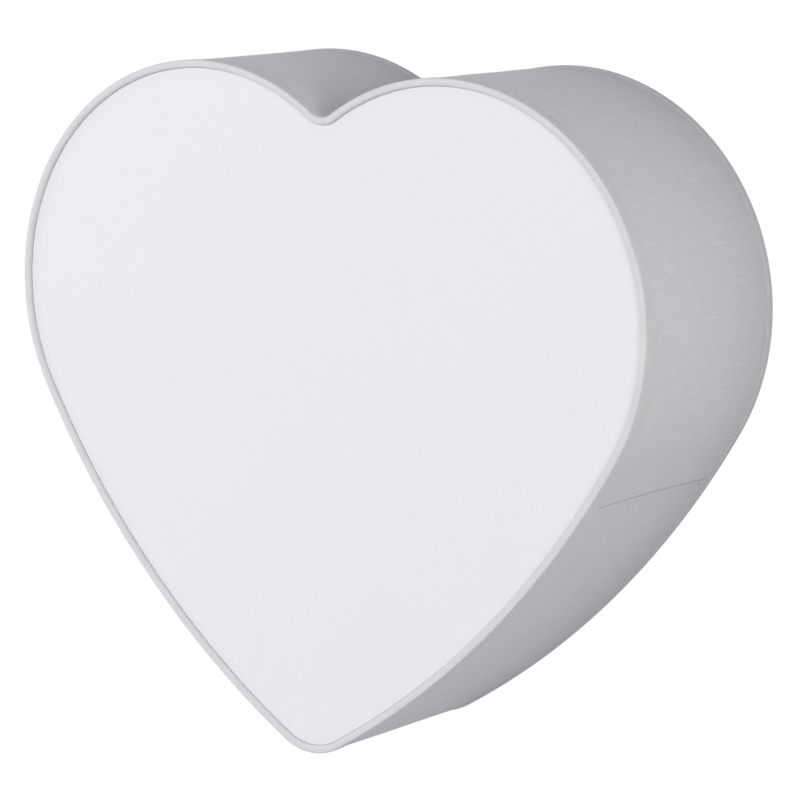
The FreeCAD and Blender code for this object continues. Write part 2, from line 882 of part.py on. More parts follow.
def lamp_globe_profile():
    end = globe_centre + s.globe_diameter / 2
    return [
        (globe_edge, globe_inner_rim),
        (end - s.globe_wall, zero, globe_centre, zero, True),
        (end, zero),
        (globe_edge, globe_rim, globe_centre, zero, False),
    ]


def lamp_profiles():
    tip_end = lamp_foot + s.tip_height
    return {
        "lamp_globe": lamp_globe_profile(),
        "lamp_housing": lamp_housing_profile(),
        "lamp_cap": lamp_cap_profile(),
        "lamp_insulator": stepped_pin(
            (tip_end, tip_end + s.insulator_height - s.lamp_play, s.insulator_nose / 2),
        ),
        "lamp_tip": stepped_pin(
            (lamp_foot, lamp_foot + s.tip_height / 2, s.tip_diameter / 4),
            (lamp_foot + s.tip_height / 2, tip_end, s.tip_diameter / 2),
        ),
    }


def holder_profiles():
    return {
        "holder_cap": holder_cap_profile(),
        "holder_skirt": holder_skirt_profile(),
        "holder_insert": stepped_pin((s.cap_seat, insert_face, insert_radius)),
        "holder_shell": holder_shell_profile(),
        "holder_contact": stepped_pin((insert_face, insert_face + s.contact_height, s.contact_diameter / 2)),
        "holder_nipple": ring_profile(
            -s.bracket_sheet - s.nipple_inside, s.nipple_reach, s.nipple_bore / 2, nipple_radius
        ),
    }


def lampholder_and_lamp(side, sign, rotation):
    for name, profile in {**holder_profiles(), **lamp_profiles()}.items():
        label = f"{side}_{name}"
        keep(turned(label, profile, ear_face * sign, s.lamp_axis_distance, zero, rotation), label)
    label = f"{side}_nipple_nut"
    blank = doc.addObject("Part::Prism", f"{label}_blank")
    blank.Polygon = 6
    bind(blank, Circumradius=s.nut_across_flats / math.sqrt(3), Height=s.nut_thickness)
    hole = doc.addObject("Part::Cylinder", f"{label}_hole")
    bind(hole, Radius=threaded_bore, Height=s.nut_thickness)
    nut = doc.addObject("Part::Cut", label)
    nut.Base, nut.Tool = blank, hole
    inside = (ear_face - s.bracket_sheet) * sign
    put(nut, inside, s.lamp_axis_distance, zero, Rotation(Vector(0, 1, 0), -90 * sign))
    keep(nut, label)


# Terminal block
block_top = -s.block_drop + s.block_height / 2
pole_distance = tray_face + s.pole_depth
pole_radius = s.pole_diameter / 2
screw_radius = s.terminal_screw_diameter / 2
screw_hole = screw_radius + s.terminal_screw_play
lead_radius = s.lead_diameter / 2
POLES = (-1, 0, 1)


def screw_spots(poles):
    return [
        (s.pole_pitch * pole, -s.block_drop + s.terminal_screw_spread / 2 * up)
        for pole in poles for up in (-1, 1)
    ]


def fixing_spots():
    return [(s.pole_pitch / 2 * sign, -s.block_drop) for sign in (-1, 1)]


def terminal_block():
    body = new_body("terminal_block")
    base = new_sketch(body, "XZ_Plane", "Base", tray_face)
    half = s.block_width / 2
    rectangle(base, -half, block_top - s.block_height, half, block_top)
    pad(body, base, s.block_depth)
    front = tray_face + s.block_depth
    fillet(body, s.block_edge, lambda edge: near(edge.BoundBox.YMax, -front))
    poles = new_sketch(body, "XY_Plane", "Poles", -s.block_drop)
    for pole in POLES:
        circle(poles, s.pole_pitch * pole, -pole_distance, pole_radius + s.pole_play)
    pocket(body, poles, s.block_height * 2, midplane=True)
    holes = new_sketch(body, "XZ_Plane", "ScrewHoles", front)
    for x, z in screw_spots(POLES):
        circle(holes, x, z, screw_hole)
    pocket(body, holes, s.block_depth - s.pole_depth)
    fixings = new_sketch(body, "XZ_Plane", "FixingHoles", front)
    for x, z in fixing_spots():
        circle(fixings, x, z, fixing_hole)
    pocket(body, fixings, s.block_depth * 2)
    keep(body, "terminal_block")


def terminal_insert(label, pole):
    body = new_body(label)
    section = new_sketch(body, "XY_Plane", "Section", -s.block_drop)
    for radius in (pole_radius, s.pole_bore / 2):
        circle(section, s.pole_pitch * pole, -pole_distance, radius)
    pad(body, section, s.block_height - s.pole_end * 2, midplane=True)
    holes = new_sketch(body, "XZ_Plane", "ScrewHoles", pole_distance + s.pole_diameter)
    for x, z in screw_spots([pole]):
        circle(holes, x, z, screw_hole)
    pocket(body, holes, s.pole_diameter)
    return body


def terminals():
    terminal_block()
    group("terminal_inserts", [terminal_insert(f"pole_{i}", pole) for i, pole in enumerate(POLES, start=1)])
    low = s.pole_depth + lead_radius + s.terminal_screw_play
    high = s.block_depth - s.terminal_screw_sink
    group("terminal_screws", [
        turned(f"terminal_screw_{i}", stepped_pin((low, high, screw_radius)), x, tray_face, z, FRONT)
        for i, (x, z) in enumerate(screw_spots(POLES), start=1)
    ])
    seat = s.block_depth + s.fixing_play
    fixing = stepped_pin(
        (-s.tray_sheet - s.fixing_tail, seat, s.fixing_diameter / 2),
        (seat, seat + s.fixing_head_height, s.fixing_head / 2),
    )
    group("terminal_fixing_screws", [
        turned(f"fixing_screw_{i}", fixing, x, tray_face, z, FRONT)
        for i, (x, z) in enumerate(fixing_spots(), start=1)
    ])


# Earth point
lug_back = s.washer_thickness
lug_front = lug_back + s.lug_thickness
barrel_radius = lead_radius + s.barrel_play + s.barrel_wall
barrel_distance = tray_face + lug_back + barrel_radius


def earth_point():
    spot = (-s.earth_offset, tray_face, -s.earth_drop, FRONT)
    screw = stepped_pin(
        (-s.tray_sheet - s.earth_tail, lug_front + s.earth_play, s.earth_diameter / 2),
        (lug_front + s.earth_play, lug_front + s.earth_play + s.earth_head_height, s.earth_head / 2),
    )
    keep(turned("earth_screw", screw, *spot), "earth_screw")
    washer = ring_profile(zero, s.washer_thickness, earth_hole, s.washer_diameter / 2)
    keep(turned("earth_washer", washer, *spot), "earth_washer")
    body = new_body("earth_lug", -s.earth_offset, tray_face, -s.earth_drop)
    eye = new_sketch(body, "XZ_Plane", "Eye", lug_back)
    circle(eye, zero, zero, s.lug_diameter / 2)
    circle(eye, zero, zero, earth_hole)
    pad(body, eye, s.lug_thickness)
    neck = new_sketch(body, "XZ_Plane", "Neck", lug_back)
    half = s.lug_neck / 2
    rectangle(neck, s.lug_diameter / 2 - s.lug_thickness, -half, s.barrel_start + s.lug_thickness, half)
    pad(body, neck, s.lug_thickness)
    barrel = new_sketch(body, "YZ_Plane", "Barrel", s.barrel_start)
    circle(barrel, -(lug_back + barrel_radius), zero, barrel_radius)
    pad(body, barrel, s.barrel_length)
    bore = new_sketch(body, "YZ_Plane", "Bore", s.barrel_start + s.barrel_length)
    circle(bore, -(lug_back + barrel_radius), zero, lead_radius + s.barrel_play)
    pocket(body, bore, s.barrel_length - s.lug_thickness)
    keep(body, "earth_lug")


# Wires: straight runs joined by tangent arcs
def wire(label, points, bend):
    spots = [Vector(x.number, -d.number, z.number) for x, d, z in points]
    edges = []
    start = spots[0]
    for before, corner, after in zip(spots, spots[1:], spots[2:]):
        back, ahead = (before - corner).normalize(), (after - corner).normalize()
        half_turn = back.getAngle(ahead) / 2
        cut = bend.number / math.tan(half_turn)
        first, last = corner + back * cut, corner + ahead * cut
        inwards = (back + ahead).normalize()
        middle = corner + inwards * (bend.number / math.sin(half_turn) - bend.number)
        edges.append(Part.LineSegment(start, first).toShape())
        edges.append(Part.Arc(first, middle, last).toShape())
        start = last
    edges.append(Part.LineSegment(start, spots[-1]).toShape())
    path = Part.Wire(edges)
    section = Part.Wire(Part.Circle(spots[0], spots[1] - spots[0], lead_radius.number).toShape())
    tube = path.makePipeShell([section], True, False)
    expected = math.pi * lead_radius.number**2 * path.Length
    share = tube.Volume / expected
    print(f"{label}: length {path.Length:.1f}, bends {bend.number:.1f}, volume share {share:.5f}")
    feature = doc.addObject("Part::Feature", label)
    feature.Shape = tube
    feature.Placement = Placement()
    keep(feature, label)


def lamp_leads(side, sign):
    # Live from the middle pole above, neutral from the right pole below, turning into the nipple.
    end = (ear_face + s.cap_seat - s.lead_end_gap) * sign
    axis = s.lamp_axis_distance
    for name, pole, level in (("live", 0, 1), ("neutral", 1, -1)):
        x = s.pole_pitch * pole + s.lead_spread / 2 * sign
        z = s.lead_stack / 2 * level
        wire(f"{side}_{name}_wire", [
            (x, pole_distance, block_top - s.lead_depth),
            (x, pole_distance, z),
            (x, axis, z),
            (end, axis, z),
        ], s.lead_bend)


def earth_wire():
    x = -s.pole_pitch
    low = block_top + s.earth_rise
    lug_end = -s.earth_offset + s.barrel_start
    wire("earth_wire", [
        (x, pole_distance, block_top - s.lead_depth),
        (x, pole_distance, low),
        (lug_end + s.barrel_length * 3, barrel_distance, -s.earth_drop),
        (lug_end + s.lug_thickness * 2, barrel_distance, -s.earth_drop),
    ], s.earth_bend)


side_wall()
front_panel()
wire_ring("front_ring", front_plane)
wire_ring("rear_ring", rear_plane)
binding("front_binding", front_plane, True, s.front_inner_tail)
binding("rear_binding", rear_plane, False, s.rear_inner_tail)
rail("upper_rail", rail_height)
rail("lower_rail", -rail_height)
wall_tray()
cable_grommet()
spring_clips()
lampholder_bracket()
lampholder_and_lamp("left", -1, LEFT)
lampholder_and_lamp("right", 1, RIGHT)
terminals()
earth_point()
lamp_leads("left", -1)
lamp_leads("right", 1)
earth_wire()

doc.recompute()
for obj in doc.Objects:
    if "Invalid" in obj.State or "Error" in obj.State:
        raise RuntimeError(f"{obj.Label} did not recompute: {obj.State}")
for piece in pieces:
    if piece.Shape.isNull() or not piece.Shape.isValid() or not piece.Shape.Solids:
        raise RuntimeError(f"{piece.Label} has no valid solid")

os.makedirs("parts", exist_ok=True)
for piece in pieces:
    piece.Shape.exportStep(f"parts/{piece.Label}.step")
print(f"{len(pieces)} nodes written")
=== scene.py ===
import json
import math
import bmesh
import bpy
from mathutils import Matrix, Vector, noise


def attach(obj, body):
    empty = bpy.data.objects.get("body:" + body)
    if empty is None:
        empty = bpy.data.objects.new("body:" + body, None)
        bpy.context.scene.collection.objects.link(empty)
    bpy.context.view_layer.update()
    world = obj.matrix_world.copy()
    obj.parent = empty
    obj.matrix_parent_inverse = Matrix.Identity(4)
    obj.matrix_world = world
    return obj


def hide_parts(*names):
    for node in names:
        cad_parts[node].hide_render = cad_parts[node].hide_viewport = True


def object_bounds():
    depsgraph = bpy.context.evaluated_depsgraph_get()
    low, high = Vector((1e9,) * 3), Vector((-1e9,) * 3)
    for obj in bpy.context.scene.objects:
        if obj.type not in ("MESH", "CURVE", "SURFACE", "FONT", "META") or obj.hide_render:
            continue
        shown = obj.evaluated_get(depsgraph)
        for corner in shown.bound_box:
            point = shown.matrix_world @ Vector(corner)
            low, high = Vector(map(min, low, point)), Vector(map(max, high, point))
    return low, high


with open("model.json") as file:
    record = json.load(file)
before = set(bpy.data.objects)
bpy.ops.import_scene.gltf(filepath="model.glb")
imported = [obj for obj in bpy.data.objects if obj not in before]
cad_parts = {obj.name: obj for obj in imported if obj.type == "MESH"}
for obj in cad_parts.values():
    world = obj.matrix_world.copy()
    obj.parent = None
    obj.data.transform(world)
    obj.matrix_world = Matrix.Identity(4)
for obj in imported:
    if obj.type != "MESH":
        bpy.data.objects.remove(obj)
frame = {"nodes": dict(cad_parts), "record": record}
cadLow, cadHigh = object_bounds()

# Heart-shaped wall light: a cloth shade on two wire rings, a wall tray and two lamps lying flat.
# Metres. The wall is the plane y = 0 and the front faces -Y. A depth is a distance from the wall.
mm = 0.001
print("frame loaded:", len(frame["nodes"]), "nodes")


# camera

photoView = {
    "azimuth": 35.50,  # degrees to the right of the front
    "elevation": 9.95,
    "roll": 1.03,
    "aim": Vector((0, -64 * mm, -49.7 * mm)),
    "aimPixel": (382.6, 424.2),  # where the aim lies in the picture
    "pictureSize": 800,
    "distance": 1980 * mm,
    "lens": 167.1,
    "sensor": 36.0,
}


def setCamera(view):
    turn, tilt, roll = (math.radians(view[k]) for k in ("azimuth", "elevation", "roll"))
    away = Vector((math.sin(turn), -math.cos(turn), 0))
    back = away * math.cos(tilt) + Vector((0, 0, math.sin(tilt)))
    level = Vector((math.cos(turn), math.sin(turn), 0))
    right = level * math.cos(roll) + back.cross(level) * math.sin(roll)
    up = back.cross(right)
    lens = bpy.data.cameras.new("photoCamera")
    lens.lens = view["lens"]
    lens.sensor_width = view["sensor"]
    lens.shift_x = 0.5 - view["aimPixel"][0] / view["pictureSize"]
    lens.shift_y = view["aimPixel"][1] / view["pictureSize"] - 0.5
    camera = bpy.data.objects.new("photoCamera", lens)
    bpy.context.scene.collection.objects.link(camera)
    place = view["aim"] + back * view["distance"]
    camera.matrix_world = Matrix((
        (right.x, up.x, back.x, place.x),
        (right.y, up.y, back.y, place.y),
        (right.z, up.z, back.z, place.z),
        (0, 0, 0, 1),
    ))
    bpy.context.scene.camera = camera


setCamera(photoView)
bpy.context.scene.view_settings.view_transform = "Standard"
print("camera set")


# node tools

class Wire:
    # a node's output that takes part in sums
    def __init__(self, sheet, socket):
        self.sheet = sheet
        self.socket = socket

    def combine(self, operation, first, second):
        return self.sheet.node("ShaderNodeMath", {"operation": operation}, {0: first, 1: second})

    def __add__(self, other):
        return self.combine("ADD", self, other)

    def __radd__(self, other):
        return self.combine("ADD", other, self)

    def __sub__(self, other):
        return self.combine("SUBTRACT", self, other)

    def __rsub__(self, other):
        return self.combine("SUBTRACT", other, self)

    def __mul__(self, other):
        return self.combine("MULTIPLY", self, other)

    def __rmul__(self, other):
        return self.combine("MULTIPLY", other, self)

    def __truediv__(self, other):
        return self.combine("DIVIDE", self, other)

    def __rtruediv__(self, other):
        return self.combine("DIVIDE", other, self)


class NodeSheet:
    def __init__(self, tree):
        self.tree = tree
        tree.nodes.clear()

    def node(self, kind, settings=None, sockets=None, out=0):
        made = self.tree.nodes.new(kind)
        for name, value in (settings or {}).items():
            setattr(made, name, value)
        for name, value in (sockets or {}).items():
            if isinstance(value, Wire):
                self.tree.links.new(value.socket, made.inputs[name])
            else:
                made.inputs[name].default_value = value
        return Wire(self, made.outputs[out]) if made.outputs else None

    def part(self, wire, axis):
        return self.node("ShaderNodeSeparateXYZ", sockets={0: wire}, out="XYZ".index(axis))

    def grain(self, at, sizes, detail=2.0, seed=0.0):
        # noise from 0 to 1 whose features have these sizes along the axes, two on a flat cut
        scale = [1 / size for size in sizes] + [1] * (3 - len(sizes))
        spread = self.node("ShaderNodeVectorMath", {"operation": "MULTIPLY"}, {0: at, 1: scale})
        moved = self.node("ShaderNodeVectorMath", {"operation": "ADD"}, {0: spread, 1: [seed] * 3})
        sockets = {"Vector": moved, "Scale": 1.0, "Detail": detail}
        return self.node("ShaderNodeTexNoise", sockets=sockets)

    def ramp(self, value, low, high):
        # 0 below low, 1 above high, smooth between
        return self.node(
            "ShaderNodeMapRange",
            {"interpolation_type": "SMOOTHSTEP"},
            {"Value": value, "From Min": low, "From Max": high},
        )

    def tint(self, share, first, second):
        sockets = {0: share}
        for socket, colour in ((6, first), (7, second)):  # the Mix node's colour sockets
            sockets[socket] = colour if isinstance(colour, Wire) else (*colour, 1)
        return self.node("ShaderNodeMix", {"data_type": "RGBA"}, sockets, out=2)


class Finish(NodeSheet):
    def __init__(self, name, constants):
        self.material = bpy.data.materials.new(name)
        self.material.use_nodes = True
        super().__init__(self.material.node_tree)
        self.shader = self.node("ShaderNodeBsdfPrincipled", sockets=constants)

    def show(self, shader=None):
        self.node("ShaderNodeOutputMaterial", sockets={"Surface": shader or self.shader})
        return self

    def feed(self, socket, wire):
        self.tree.links.new(wire.socket, self.shader.socket.node.inputs[socket])

    def relief(self, height, depth, strength):
        sockets = {"Height": height, "Distance": depth, "Strength": strength}
        self.feed("Normal", self.node("ShaderNodeBump", sockets=sockets))

    def solid(self):
        return self.node("ShaderNodeTexCoord", out="Object")

    def cut(self):
        return self.node("ShaderNodeUVMap", {"uv_map": "cut"})


# studio

studio = {
    "skyLevel": 0.355,
    "skyColour": (0.98, 0.985, 1.0),
    "lamps": {
        "keyLight": {"place": (-1.0, -2.4, 0.5), "size": 1.8, "watts": 35.5},
        "rightLight": {"place": (2.0, -1.1, 0.3), "size": 0.8, "watts": 14.0},
        "leftLight": {"place": (-2.4, -0.75, 0.3), "size": 0.9, "watts": 8.0},
        "backLight": {"place": (0, 2.4, 0), "size": 0.7, "watts": 24.0},
    },
    "aim": (0, -64 * mm, -20 * mm),
    "floorDrop": 380 * mm,  # below the tip
    "floorRadius": 1.0,
    "floorFade": 0.45,  # from here out it turns into the white background
    "floorColour": (0.5, 0.5, 0.5),
    "floorGlow": 0.8,
    "floorSides": 128,
}


def seenRays(sheet):
    kinds = "Camera", "Glossy", "Transmission"
    camera, glossy, through = (
        sheet.node("ShaderNodeLightPath", out=f"Is {kind} Ray") for kind in kinds
    )
    most = sheet.node("ShaderNodeMath", {"operation": "MAXIMUM"}, {0: camera, 1: glossy})
    return sheet.node("ShaderNodeMath", {"operation": "MAXIMUM"}, {0: most, 1: through})


def setBackground():
    world = bpy.data.worlds.new("studioWorld")
    world.use_nodes = True
    bpy.context.scene.world = world
    sheet = NodeSheet(world.node_tree)
    light = sheet.node(
        "ShaderNodeBackground",
        sockets={"Color": (*studio["skyColour"], 1), "Strength": studio["skyLevel"]},
    )
    white = sheet.node("ShaderNodeBackground", sockets={"Color": (1, 1, 1, 1), "Strength": 1.0})
    mixed = sheet.node("ShaderNodeMixShader", sockets={0: seenRays(sheet), 1: light, 2: white})
    sheet.node("ShaderNodeOutputWorld", sockets={"Surface": mixed})


def setLamp(name, lamp):
    light = bpy.data.lights.new(name, "AREA")
    light.shape = "DISK"
    light.size = lamp["size"]
    light.energy = lamp["watts"]
    holder = bpy.data.objects.new(name, light)
    bpy.context.scene.collection.objects.link(holder)
    holder.location = lamp["place"]
    way = Vector(studio["aim"]) - Vector(lamp["place"])
    holder.rotation_euler = way.to_track_quat("-Z", "Y").to_euler()


def setFloor():
    shape = bmesh.new()
    sides, radius = studio["floorSides"], studio["floorRadius"]
    bmesh.ops.create_circle(shape, cap_ends=True, segments=sides, radius=radius)
    mesh = bpy.data.meshes.new("studioFloor")
    shape.to_mesh(mesh)
    shape.free()
    floor = bpy.data.objects.new("studioFloor", mesh)
    floor.location.z = cadLow.z - studio["floorDrop"]
    bpy.context.scene.collection.objects.link(floor)
    f = Finish("floorPaint", {"Roughness": 0.9, "Base Color": (*studio["floorColour"], 1)})
    white = f.node("ShaderNodeEmission", sockets={"Color": (1, 1, 1, 1), "Strength": 1.0})
    away = f.node("ShaderNodeVectorMath", {"operation": "LENGTH"}, {0: f.solid()}, out="Value")
    fade = f.ramp(away, studio["floorFade"], radius)
    share = seenRays(f) * (studio["floorGlow"] + (1 - studio["floorGlow"]) * fade)
    f.show(f.node("ShaderNodeMixShader", sockets={0: share, 1: f.shader, 2: white}))
    mesh.materials.append(f.material)


setBackground()
for name, lamp in studio["lamps"].items():
    setLamp(name, lamp)
setFloor()
print("studio set")


# heart outline

heartShape = {  # radii at the outer face of the side wall
    "lobeRadius": 122.2 * mm,
    "lobeOffset": 77.4 * mm,
    "lobeRise": 20 * mm,
    "flankRadius": 485.5 * mm,
    "tipRadius": 32.7 * mm,
    "tipDrop": 204.8 * mm,
    "notchRadius": 11.7 * mm,
    "step": 1.5 * mm,
    "leastSteps": 10,
}


class Arc:
    def __init__(self, centre, radius, start, end, way):
        self.centre = centre
        self.radius = radius
        self.start = start
        self.end = end
        self.way = way  # 1 where the heart lies inside the arc, -1 in the notch
        self.length = radius * abs(end - start)

    def mirrored(self):
        centre = Vector((-self.centre.x, self.centre.y))
        return Arc(centre, self.radius, math.pi - self.end, math.pi - self.start, self.way)


def heartArcs(shape):
    lobe = Vector((shape["lobeOffset"], shape["lobeRise"]))
    tip = Vector((0, shape["lobeRise"] - shape["tipDrop"]))
    lobeToNotch = shape["lobeRadius"] + shape["notchRadius"]
    notch = Vector((0, lobe.y + math.sqrt(lobeToNotch ** 2 - lobe.x ** 2)))
    lobeToFlank = shape["flankRadius"] - shape["lobeRadius"]
    tipToFlank = shape["flankRadius"] - shape["tipRadius"]
    gap = (tip - lobe).length
    along = (lobeToFlank ** 2 - tipToFlank ** 2 + gap ** 2) / (2 * gap)
    across = math.sqrt(lobeToFlank ** 2 - along ** 2)
    way = (tip - lobe).normalized()
    flank = lobe + way * along + Vector((way.y, -way.x)) * across

    def bearing(first, second):
        return math.atan2(second.y - first.y, second.x - first.x)

    low, side, top = bearing(flank, tip), bearing(flank, lobe), bearing(lobe, notch)
    right = [
        Arc(tip, shape["tipRadius"], -math.pi / 2, low, 1),
        Arc(flank, shape["flankRadius"], low, side, 1),
        Arc(lobe, shape["lobeRadius"], side, top, 1),
        Arc(notch, shape["notchRadius"], top - math.pi, -math.pi / 2, -1),
    ]
    return right + [arc.mirrored() for arc in reversed(right)]


arcs = heartArcs(heartShape)
heartLength = sum(arc.length for arc in arcs)
notchAlong = heartLength / 2


def onHeart(along, inset, depth):
    # a point round the heart from the tip, counterclockwise seen from the front
    along %= heartLength
    for arc in arcs:
        if along <= arc.length:
            break
        along -= arc.length
    angle = arc.start + (arc.end - arc.start) * min(along / arc.length, 1)
    reach = arc.radius - arc.way * inset
    return Vector((
        arc.centre.x + reach * math.cos(angle),
        -depth,
        arc.centre.y + reach * math.sin(angle),
    ))


def stations():
    found, run = [], 0
    for arc in arcs:
        count = max(heartShape["leastSteps"], math.ceil(arc.length / heartShape["step"]))
        found += [run + arc.length * k / count for k in range(count)]
        run += arc.length
    return found


def smooth(value, low, high):
    share = min(max((value - low) / (high - low), 0), 1)
    return share * share * (3 - 2 * share)


def spaced(start, end, step):
    count = max(1, math.ceil(abs(end - start) / step))
    return [start + (end - start) * k / count for k in range(count + 1)]


wallCard = {  # dark strip of backdrop behind the shade's rear edge, which only takes light off it
    "gap": 1 * mm,
    "width": 42 * mm,
    "behind": 1.5 * mm,
    "colour": (0.06, 0.06, 0.06),
}


def setWallCard():
    points = []
    depth = -wallCard["behind"]
    for along in stations():
        near = onHeart(along, -wallCard["gap"], depth)
        far = onHeart(along, -wallCard["gap"] - wallCard["width"], depth)
        far.x = max(far.x, 0) if along < notchAlong else min(far.x, 0)  # no overlap in the notch
        points += [near, far]
    count = len(points)
    faces = [(k, k + 1, (k + 3) % count, (k + 2) % count) for k in range(0, count, 2)]
    mesh = bpy.data.meshes.new("wallCard")
    mesh.from_pydata(points, [], faces)
    card = bpy.data.objects.new("wallCard", mesh)
    bpy.context.scene.collection.objects.link(card)
    f = Finish("cardPaint", {"Roughness": 0.9, "Base Color": (*wallCard["colour"], 1)})
    clear = f.node("ShaderNodeBsdfTransparent")
    f.show(f.node("ShaderNodeMixShader", sockets={0: seenRays(f), 1: f.shader, 2: clear}))
    mesh.materials.append(f.material)


setWallCard()
print("backdrop card set")


# cloth meshes

shade = {
    "rearPlane": 2.6 * mm,  # rear ring from the wall
    "frontPlane": 122.9 * mm,
    "ringRadius": 1.2 * mm,
    "ringInset": 2.05 * mm,
    "sheetThickness": 0.8 * mm,
    "crestOut": 2.45 * mm,  # outer side of the tape from the ring's middle
    "crestIn": 1.6 * mm,
    "tapeThickness": 0.35 * mm,
    "frontTail": 5.5 * mm,  # tape on the side wall, from the ring
    "rearTail": 4.0 * mm,
    "seamTail": 3.4 * mm,  # the front tail is wider by this beside the seam
    "sharpAngle": math.radians(50),
}


def meshPiece(name, points, faces, corners, body, slot, finish, *nodes):
    mesh = bpy.data.meshes.new(name)
    mesh.from_pydata(points, [], faces)
    layer = mesh.uv_layers.new(name="cut")
    layer.data.foreach_set("uv", [x for corner in corners for x in corner])
    shape = bmesh.new()
    shape.from_mesh(mesh)
    bmesh.ops.recalc_face_normals(shape, faces=shape.faces)
    shape.to_mesh(mesh)
    shape.free()
    mesh.polygons.foreach_set("use_smooth", [True] * len(mesh.polygons))
    mesh.set_sharp_from_angle(angle=shade["sharpAngle"])
    mesh.materials.append(finish.material)
    piece = bpy.data.objects.new(name, mesh)
    bpy.context.scene.collection.objects.link(piece)
    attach(piece, body)
    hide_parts(*nodes)
    return piece


def closedSkin(rings, alongs, acrosses):
    # quads over rings of points that close both ways, with the flat cut's place at each corner
    count, size = len(rings), len(rings[0])
    points = [point for ring in rings for point in ring]
    faces, corners = [], []
    for i in range(count):
        after = (i + 1) % count
        for j in range(size):
            beyond = (j + 1) % size
            near, far = i * size, after * size
            faces.append((near + j, far + j, far + beyond, near + beyond))
            corners += [
                (alongs[i], acrosses[j]),
                (alongs[i + 1], acrosses[j]),
                (alongs[i + 1], acrosses[j + 1]),
                (alongs[i], acrosses[j + 1]),
            ]
    return points, faces, corners


wall = {
    "seamHeight": -66.0 * mm,  # upper edge of the glued lap, on the right flank
    "seamBow": 1.1 * mm,  # how far the middle of the seam bows upwards
    "bowReach": 12 * mm,
    "lapWidth": 14 * mm,
    "lapThickness": 0.45 * mm,
    "lapEnds": 0.15 * mm,  # clear of the tapes' tails
    "edgeLift": 0.08 * mm,  # the upper edge stands off a little
    "liftReach": 1.2 * mm,
    "grooveDepth": 0.1 * mm,  # pressed in along that edge
    "grooveWidth": 0.6 * mm,
    "grooveStep": 0.2 * mm,
    "edgeRun": 0.02 * mm,  # lean of the edge's own face
    "pucker": {  # dimple near the rear end of the seam
        "below": 3.2 * mm,
        "depth": 13.2 * mm,
        "radius": 1.0 * mm,
        "sink": 0.45 * mm,
    },
    "wave": 0.16 * mm,
    "waveSize": 34 * mm,
    "waveFade": 9 * mm,
    "rowStep": 2.5 * mm,
    "innerStep": 8 * mm,
    "fineStep": 0.4 * mm,
}


def seamAlong():
    flank = arcs[1]
    angle = math.asin((wall["seamHeight"] - flank.centre.y) / flank.radius)
    return arcs[0].length + flank.radius * (angle - flank.start)


seam = seamAlong()
lapLow = shade["rearPlane"] + shade["rearTail"] + wall["lapEnds"]
lapHigh = shade["frontPlane"] - shade["frontTail"] - shade["seamTail"] - wall["lapEnds"]


def lapRise(below):
    # height of the lap over the sheet, at a distance below its upper edge
    if below < 0:
        return -wall["grooveDepth"] * max(0, 1 + below / wall["grooveWidth"])
    if below > wall["lapWidth"]:
        return 0
    lift = wall["edgeLift"] * (1 - smooth(below, 0, wall["liftReach"]))
    return wall["lapThickness"] * (1 - below / wall["lapWidth"]) + lift


def wallPoint(along, depth, outer):
    if not outer:
        return onHeart(along, shade["sheetThickness"], depth)
    share = min(max((depth - lapLow) / (lapHigh - lapLow), 0), 1)
    bow = wall["seamBow"] * 4 * share * (1 - share)
    bowed = along + bow * max(0, 1 - abs(along - seam) / wall["bowReach"])
    place = onHeart(bowed, 0, depth)
    inLap = smooth(depth, lapLow - wall["lapEnds"], lapLow)
    inLap *= 1 - smooth(depth, lapHigh, lapHigh + wall["lapEnds"])
    fromEdge = min(depth - lapLow, lapHigh - depth)
    calm = smooth(fromEdge, 0, wall["waveFade"])
    rise = wall["wave"] * noise.noise(place / wall["waveSize"]) * calm
    rise += lapRise(seam - along) * inLap
    spot = wall["pucker"]
    away = math.hypot(seam - along - spot["below"], depth - spot["depth"])
    rise -= spot["sink"] * math.exp(-((away / spot["radius"]) ** 2))
    return onHeart(bowed, -rise, depth)


def makeWall(finish):
    spot = wall["pucker"]
    fine, finest = wall["fineStep"], wall["grooveStep"]
    low = shade["rearPlane"] - shade["ringRadius"]
    high = shade["frontPlane"] + shade["ringRadius"]
    lap = spaced(seam - 2 * spot["below"], seam, fine)
    groove = [seam + wall["edgeRun"]]
    groove += spaced(seam + finest, seam + 2 * wall["grooveWidth"], finest)
    plain = [along for along in stations() if not lap[0] - fine < along < groove[-1] + fine]
    alongs = sorted(plain + lap + groove)
    rows = [low, lapLow - wall["lapEnds"], lapLow]
    rows += spaced(lapLow + fine, spot["depth"] + 4 * spot["radius"], fine)
    rows += spaced(rows[-1] + fine, lapHigh, wall["rowStep"])
    rows += [lapHigh + wall["lapEnds"], high]
    inner = spaced(high, low, wall["innerStep"])
    rings = []
    for along in alongs:
        ring = [wallPoint(along, depth, True) for depth in rows]
        rings.append(ring + [wallPoint(along, depth, False) for depth in inner])
    acrosses = rows + [2 * high - depth for depth in inner] + [2 * high - low]
    skin = closedSkin(rings, alongs + [heartLength + alongs[0]], acrosses)
    piece = meshPiece("shadeWall", *skin, "shade", "shade_cloth", finish, "side_wall")


panel = {
    "face": 122.6 * mm,
    "inset": 3.75 * mm,
    "thickness": 1.2 * mm,
    "edgeRound": 0.55 * mm,
    "edgeSteps": 5,
    "middle": Vector((0, 0, -20 * mm)),
    "wave": 0.10 * mm,
    "waveSize": 45 * mm,
    "waveFade": 14 * mm,
    "rings": 34,
    "ringPower": 1.3,  # rings lie closer near the edge
}


